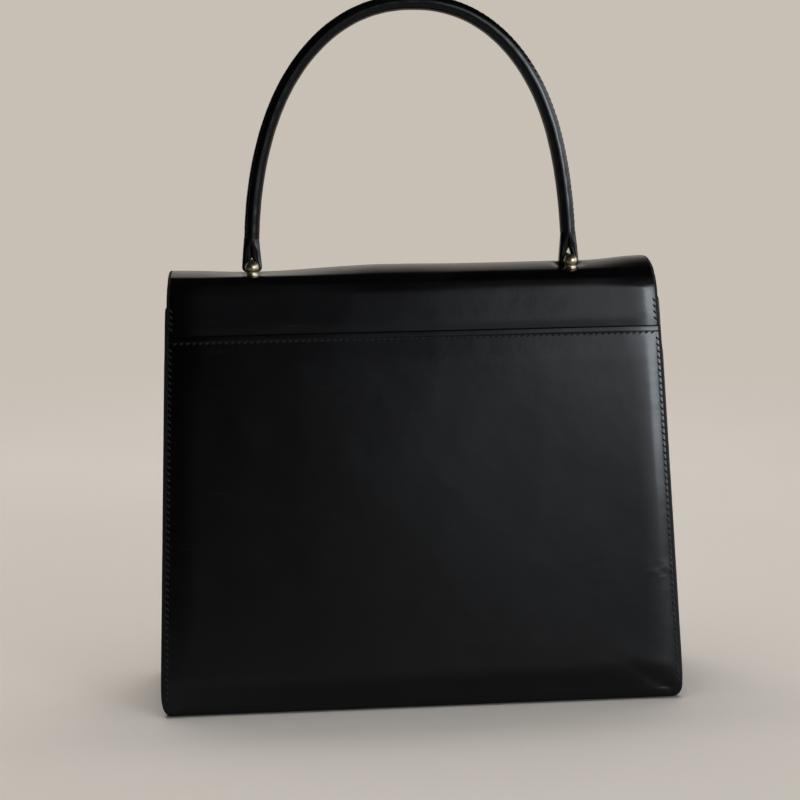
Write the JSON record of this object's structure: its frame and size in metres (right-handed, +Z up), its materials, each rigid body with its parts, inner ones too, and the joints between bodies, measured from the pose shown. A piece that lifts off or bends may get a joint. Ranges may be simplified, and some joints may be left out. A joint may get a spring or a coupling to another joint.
{
  "type": "structured top-handle handbag",
  "caption": "Structured leather handbag that tapers to a narrow rounded crest, with one arched tubular handle on ball posts and a front flap held by a turn lock.",
  "frame": {"origin": "middle of the base, on the surface that the bag stands on", "axes": "+Z up through the crest and handle, -Y out of the front with the flap and lock, +Y out of the plain back, X along the bag's width"},
  "size_m": [0.26, 0.0868, 0.3483],
  "materials": {
    "black_leather": "smooth glossy calf",
    "lining_fabric": "matte twill",
    "bonded_board": "matte bonded leather board",
    "handle_cord": "twisted cotton cord",
    "pale_gold": "polished pale gold plating",
    "plated_steel": "plain plated"
  },
  "bodies": {
    "shell": {"body_leather": "black_leather", "back_yoke": "black_leather", "gusset_left": "black_leather", "gusset_right": "black_leather", "back_board": "bonded_board", "yoke_board": "bonded_board", "front_board": "bonded_board", "base_board": "bonded_board", "back_lining": "lining_fabric", "front_lining": "lining_fabric", "base_lining": "lining_fabric", "gusset_lining_left": "lining_fabric", "gusset_lining_right": "lining_fabric", "slip_pocket": "lining_fabric", "pocket_binding": "black_leather", "lock_base_plate": "pale_gold", "lock_backing_plate": "plated_steel", "lock_rivet_left": "pale_gold", "lock_rivet_right": "pale_gold"},
    "lid": {"lid_leather": "black_leather", "lid_board": "bonded_board", "lid_lining": "lining_fabric", "ball_post_left_front": "pale_gold", "ball_post_left_rear": "pale_gold", "ball_post_right_front": "pale_gold", "ball_post_right_rear": "pale_gold", "handle_pin_left": "pale_gold", "handle_pin_right": "pale_gold", "backing_plate_left": "plated_steel", "backing_plate_right": "plated_steel", "stud_nut_left_front": "plated_steel", "stud_nut_left_rear": "plated_steel", "stud_nut_right_front": "plated_steel", "stud_nut_right_rear": "plated_steel"},
    "handle": {"handle_cover": "black_leather", "handle_core": "handle_cord", "handle_loop_left": "black_leather", "handle_loop_right": "black_leather"},
    "flap": {"flap_leather": "black_leather", "flap_board": "bonded_board", "flap_lining": "lining_fabric", "lock_flap_plate": "pale_gold", "lock_flap_backing": "pale_gold", "flap_rivet_left": "pale_gold", "flap_rivet_right": "pale_gold"},
    "toggle": {"lock_toggle": "pale_gold", "spindle_clip": "plated_steel"}
  },
  "joints": [
    {"name": "lid_swing", "type": "hinge", "parent": "shell", "child": "lid", "pos_m": [0, 0.018, 0.208], "axis": [-1, 0, 0], "range_deg": [0, 75]},
    {"name": "flap_swing", "type": "hinge", "parent": "lid", "child": "flap", "pos_m": [0, -0.018, 0.208], "axis": [-1, 0, 0], "range_deg": [0, 150]},
    {"name": "handle_lean", "type": "hinge", "parent": "lid", "child": "handle", "pos_m": [0, 0.001, 0.2187], "axis": [1, 0, 0], "range_deg": [-10, 10]},
    {"name": "toggle_turn", "type": "hinge", "parent": "shell", "child": "toggle", "pos_m": [0, -0.02339, 0.13192], "axis": [0, -0.988, 0.1544], "range_deg": [0, 90]}
  ],
  "couplings": [
    {"joint": "lid_swing", "follows": "flap_swing", "ratio": 0.5}
  ]
}
